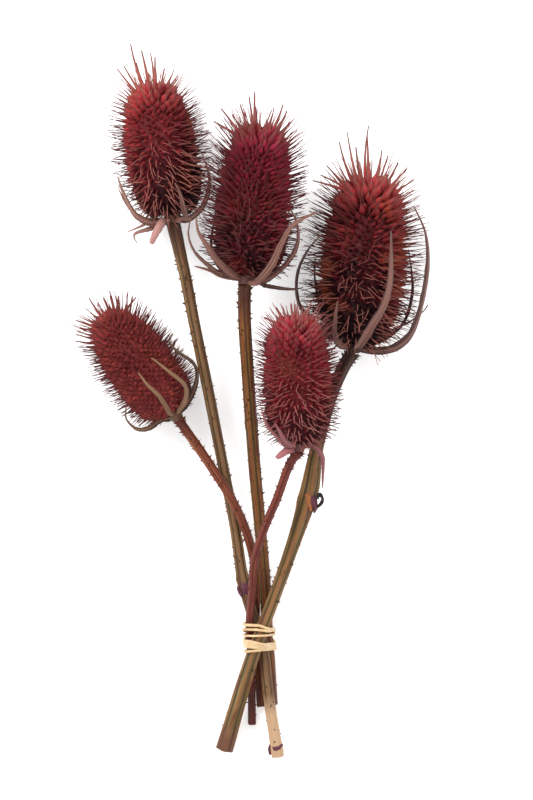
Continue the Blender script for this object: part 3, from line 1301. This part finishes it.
def make_stem_material(name, look):
    """Dried ribbed stem with panels between ribs, lengthwise fibres and stains."""
    made, shader = new_material(name, 0.55, 0.25)
    along, turn, cut, crest, torn = [
        add_node(made, "ShaderNodeAttribute", attribute_name=name).outputs["Fac"]
        for name in ("along", "turn", "cut_face", "crest", "torn")]
    circle = add_node(made, "ShaderNodeMath", {0: turn, 1: 2 * math.pi}, operation="MULTIPLY").outputs[0]
    east = add_node(made, "ShaderNodeMath", {0: circle}, operation="COSINE").outputs[0]
    north = add_node(made, "ShaderNodeMath", {0: circle}, operation="SINE").outputs[0]
    spread = add_node(made, "ShaderNodeCombineXYZ", {"X": east, "Y": north, "Z": along}).outputs[0]
    streaks = {}
    for kind, (width, length, detail) in STREAKS.items():
        scale = (STEM_RADIUS / width, STEM_RADIUS / width, STEM_LENGTH / length)
        space = add_node(made, "ShaderNodeMapping", {"Vector": spread, "Scale": scale}).outputs[0]
        streaks[kind] = add_node(made, "ShaderNodeTexNoise", {"Vector": space, "Detail": detail,
                                                              "Scale": 1.0}).outputs["Fac"]
    colour = add_node(made, "ShaderNodeValToRGB", {"Fac": streaks["fibre"]},
                      stops=list(zip((0.34, 0.5, 0.64), look["panel"]))).outputs["Color"]
    rag = add_node(made, "ShaderNodeValToRGB", {"Fac": torn},
                   stops=[(0.30, "#4c2138"), (0.66, "#96582f"), (0.95, "#1e0e12")]).outputs["Color"]
    layers = [(streaks["panel"], 0.47, 0.56, 0.75, look["other_panel"]),
              (crest, 0.70, 0.95, 0.75, look["rib"]), (crest, 0.30, 0.0, 0.9, look["groove"]),
              (streaks["stain"], 0.52, 0.66, 0.75, look["stain"]),
              (along, look["top_until"] + 0.03, look["top_until"] - 0.04, 0.9, look["top"]),
              (along, look["foot_from"], look["foot_from"] + 0.04, 0.70, look["foot"]),
              (cut, 0.4, 0.6, 1.0, CUT_WOOD), (torn, 0.05, 0.2, 1.0, rag)]
    link(made, lay_colours(made, colour, layers), shader, "Base Color")
    bump = add_node(made, "ShaderNodeBump", {"Height": streaks["fibre"], "Strength": 0.6,
                                             "Distance": 0.2 * MM})
    link(made, bump.outputs[0], shader, "Normal")
    return made


stem_finish = {n: make_stem_material(f"dried_stem_{n}", look) for n, look in STEM_LOOKS.items()}
print("stem finishes:", len(stem_finish))

# %% [markdown]
# Natural rubber band: cream, slightly see-through and satin. A little scattering under the surface
# gives it the soft glow that rubber has, and a faint noise keeps it from looking like plastic.

# %% Rubber
# How wide the darker clouds in the rubber are.
CLOUD_SIZE = 5


def make_rubber_material():
    """Cream natural rubber."""
    made, shader = new_material("cream_rubber", 0.42, 0.5)
    place = add_node(made, "ShaderNodeTexCoord").outputs["Object"]
    cloud = add_node(made, "ShaderNodeTexNoise", {"Vector": place, "Scale": 1 / (CLOUD_SIZE * MM),
                                                 "Detail": 4.0})
    cream = add_node(made, "ShaderNodeValToRGB", {"Fac": cloud.outputs["Fac"]},
                     stops=[(0.3, "#b8936a"), (0.7, "#dcc094")])
    link(made, cream.outputs["Color"], shader, "Base Color")
    shader.inputs["Subsurface Weight"].default_value = 0.25
    shader.inputs["Subsurface Radius"].default_value = (1.0, 0.7, 0.4)
    shader.inputs["Subsurface Scale"].default_value = 1.0 * MM
    return made


rubber = make_rubber_material()
print("band finish:", rubber.name)

# %% [markdown]
# Now each piece takes its finish, rides on the one body, and says which node it stands for. The
# spine, petal, awn and prickle that were copied are only patterns, so they leave the scene.

# %% Hand the pieces over
# Edges sharper than this, in degrees, stay crisp.
CRISP_BRACTS, CRISP_STEMS = 50, 40


def hand_over(piece, finish, node):
    """Gives a piece its finish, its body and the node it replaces."""
    piece.data.materials.clear()
    piece.data.materials.append(finish)
    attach(piece, "root")
    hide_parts(node)


for number in HEADS:
    select_only(bracts[number])
    bpy.ops.object.shade_smooth_by_angle(angle=math.radians(CRISP_BRACTS))
    select_only(stems[number])
    bpy.ops.object.shade_smooth_by_angle(angle=math.radians(CRISP_STEMS))
    hand_over(heads[number], spine_finish[number], f"head_{number}")
    hand_over(bracts[number], bract_finish[number], f"bracts_{number}")
    hand_over(stems[number], stem_finish[number], f"stem_{number}")
hand_over(band, rubber, "tie")
for pattern in (needle, petal, awn, prickle):
    bpy.data.objects.remove(pattern)

# %% [markdown]
# The studio: a plain pale floor under a broad, even light. The paper is a little lit from beneath,
# as on a light table, so that the ground stays white with hardly a shadow. The camera looks straight
# down on the bunch, because it lies where the photo has it upright. A long lens far away keeps it
# free of perspective, as the photo is.

# %% Floor, light and camera
PHOTO_WIDTH, PHOTO_HEIGHT = 533, 800
MM_PER_PIXEL = 0.5
VIEW_CENTRE = (7.25, 0.75)
SENSOR = 36.0
CAMERA_HEIGHT = 3.0
SUBJECT_HEIGHT = 0.03
WHITE = (1.0, 1.0, 1.0, 1.0)
FLOOR_SIZE = 8.0
FLOOR_DROP = 0.0002
PAPER_GRAIN = 30
PAPER_GLOW = 0.30
ROOM_LIGHT = 1.05

nothing_selected()
bpy.ops.mesh.primitive_plane_add(size=FLOOR_SIZE, location=(0, 0, -FLOOR_DROP))
floor = named("studio_floor")
paper, paper_shader = new_material("seamless_paper", 0.9, 0.1)
paper_place = add_node(paper, "ShaderNodeTexCoord").outputs["Object"]
paper_grain = add_node(paper, "ShaderNodeTexNoise", {"Vector": paper_place, "Scale": 1 / (PAPER_GRAIN * MM)})
paper_tone = add_node(paper, "ShaderNodeValToRGB", {"Fac": paper_grain.outputs["Fac"]},
                      stops=[(0.0, "#f4f4f3"), (1.0, "#f8f8f8")])
link(paper, paper_tone.outputs["Color"], paper_shader, "Base Color")
paper_shader.inputs["Emission Color"].default_value = WHITE
paper_shader.inputs["Emission Strength"].default_value = PAPER_GLOW
floor.data.materials.append(paper)
floor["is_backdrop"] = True

world = bpy.data.worlds.new("studio")
world.use_nodes = True
world.node_tree.nodes["Background"].inputs["Color"].default_value = WHITE
world.node_tree.nodes["Background"].inputs["Strength"].default_value = ROOM_LIGHT
bpy.context.scene.world = world
bpy.context.scene.view_settings.view_transform = "Standard"


def add_area(name, place, size, power):
    """A square soft light aimed at the middle of the bunch."""
    data = bpy.data.lights.new(name, "AREA")
    data.energy = power
    data.size = size
    lamp = bpy.data.objects.new(name, data)
    lamp.location = place
    lamp.rotation_euler = (-Vector(place)).to_track_quat("-Z", "Y").to_euler()
    bpy.context.scene.collection.objects.link(lamp)


add_area("key", (-0.8, 0.9, 1.2), 0.8, 25.0)
add_area("fill", (1.2, 0.2, 1.0), 0.9, 5.0)

lens = bpy.data.cameras.new("lens")
lens.sensor_width = SENSOR
lens.lens = SENSOR * (CAMERA_HEIGHT - SUBJECT_HEIGHT) / (PHOTO_HEIGHT * MM_PER_PIXEL * MM)
lens.clip_end = 20.0
camera = bpy.data.objects.new("camera", lens)
camera.location = (VIEW_CENTRE[0] * MM, VIEW_CENTRE[1] * MM, CAMERA_HEIGHT)
bpy.context.scene.collection.objects.link(camera)
bpy.context.scene.camera = camera
print("lens:", round(lens.lens), "mm, frame:", PHOTO_WIDTH, "x", PHOTO_HEIGHT)

# %% [markdown]
# Last, the boxes of the fixed model and of this one are kept side by side. They show how far the
# finer pieces reach past the size that the model fixed, which is a few millimetres of hair and awn.

# %% Compare sizes and finish
seen_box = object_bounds()
sizes = {"cad": [[round(float(v), 5) for v in corner] for corner in cad_box],
         "visual": [[round(float(v), 5) for v in corner] for corner in seen_box]}
print(sizes, round(time.time() - STARTED), "s")
